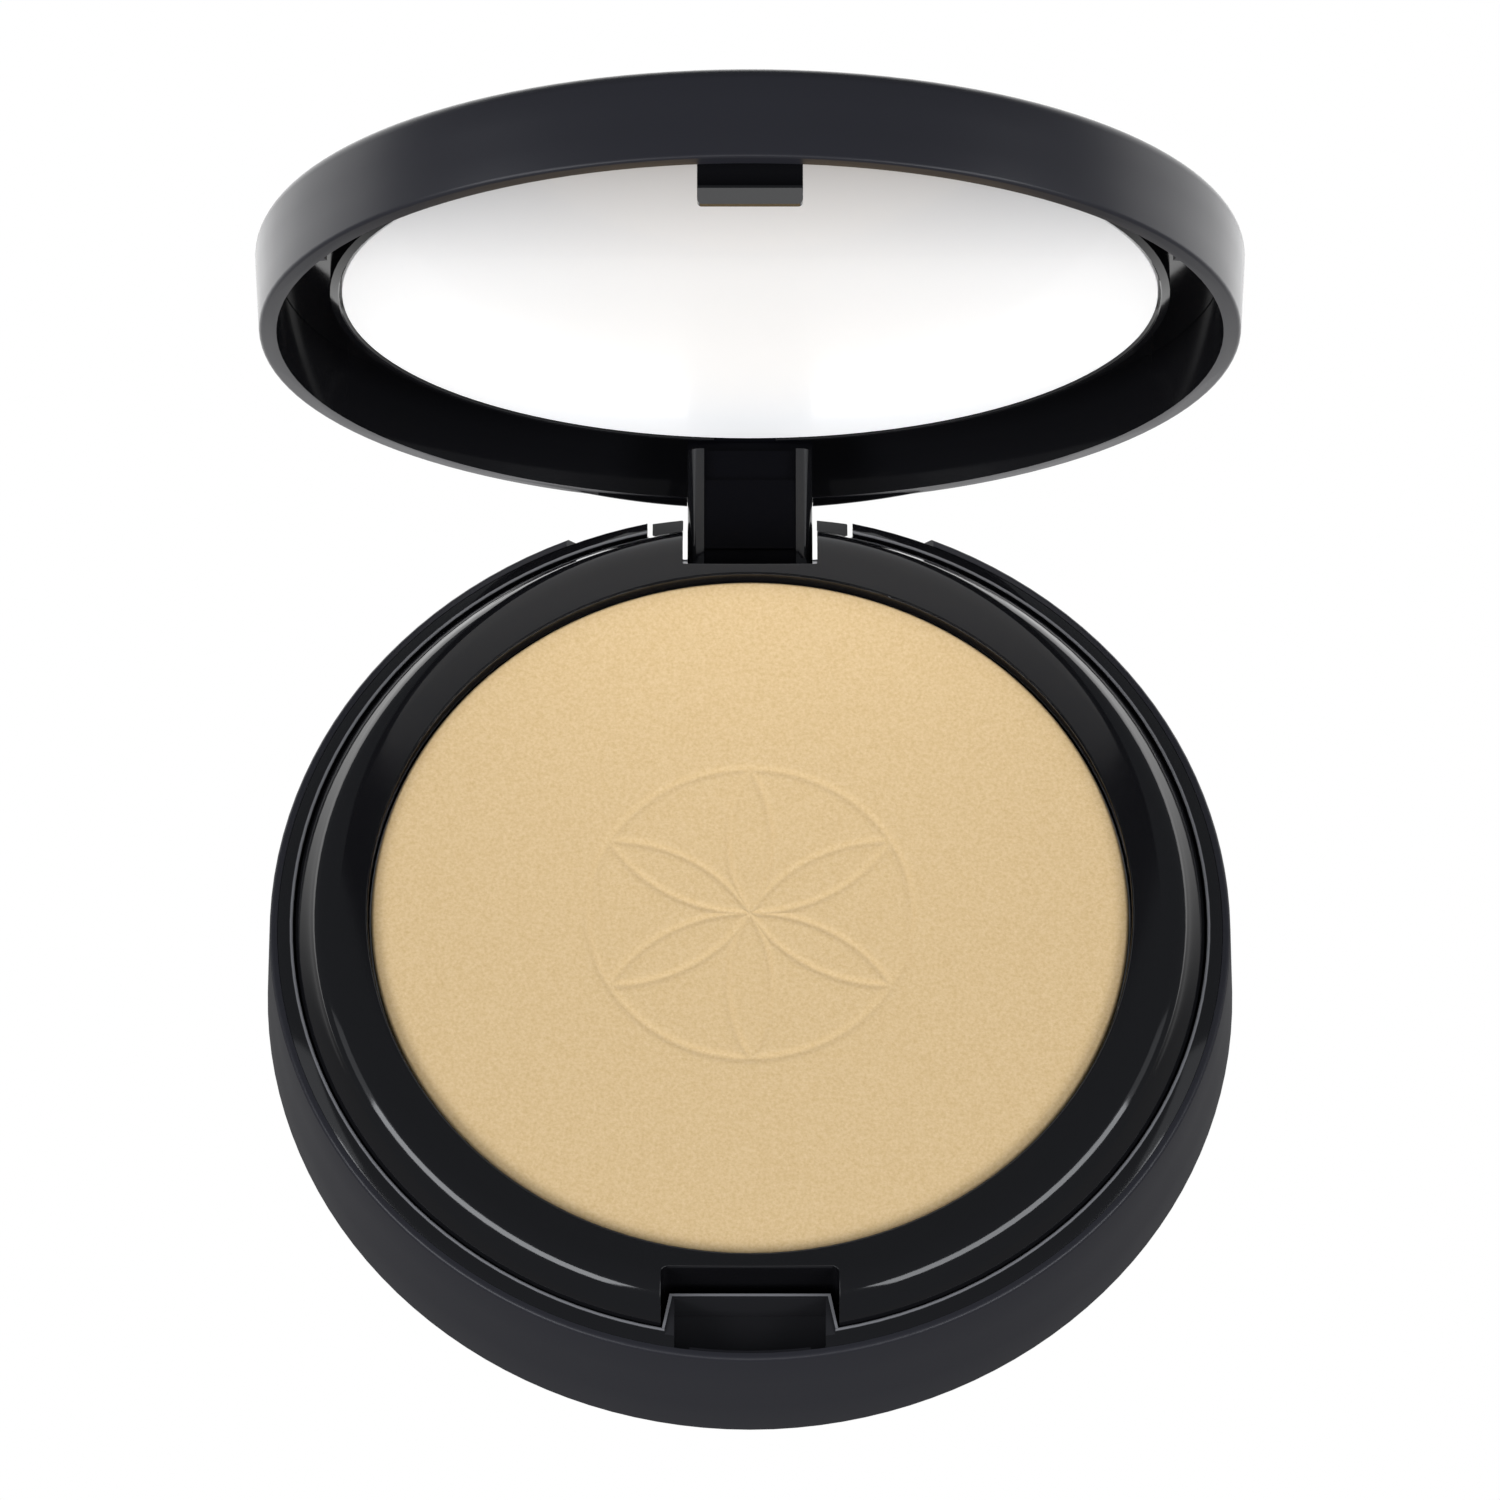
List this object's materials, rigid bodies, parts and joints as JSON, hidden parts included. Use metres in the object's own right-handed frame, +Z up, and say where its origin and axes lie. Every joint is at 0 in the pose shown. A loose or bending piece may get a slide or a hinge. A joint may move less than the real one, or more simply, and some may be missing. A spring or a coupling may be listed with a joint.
{
  "type": "powder compact",
  "caption": "Round two-tier powder compact: a satin black base with a gloss black powder tray, and a hinged mirrored lid that snaps shut.",
  "frame": {"origin": "centre of the base's underside, on the table", "axes": "+Z up out of the base, +Y from the centre to the hinge, +X along the hinge pin"},
  "size_m": [0.0756, 0.0857, 0.0793],
  "materials": {
    "satin_black": "satin moulded",
    "gloss_black": "polished",
    "pan_metal": "bare drawn sheet",
    "pin_steel": "drawn wire",
    "powder": "fine pressed powder",
    "sponge": "fine closed foam",
    "mirror": "silvered glass",
    "adhesive": "double-sided adhesive",
    "label": "blank printed film"
  },
  "bodies": {
    "base": {"base_shell": "satin_black", "base_liner": "gloss_black", "powder_tray": "gloss_black", "powder_pan": "pan_metal", "pan_adhesive": "adhesive", "powder_cake": "powder", "applicator_sponge": "sponge", "hinge_pin": "pin_steel", "base_label": "label"},
    "lid": {"lid_shell": "satin_black", "lid_frame": "gloss_black", "mirror_glass": "mirror", "mirror_tape": "adhesive"}
  },
  "joints": [
    {"name": "lid_hinge", "type": "hinge", "parent": "base", "child": "lid", "pos_m": [0, 0.0348, 0.0057], "axis": [-1, 0, 0], "range_deg": [-80.7, 19.3]}
  ]
}
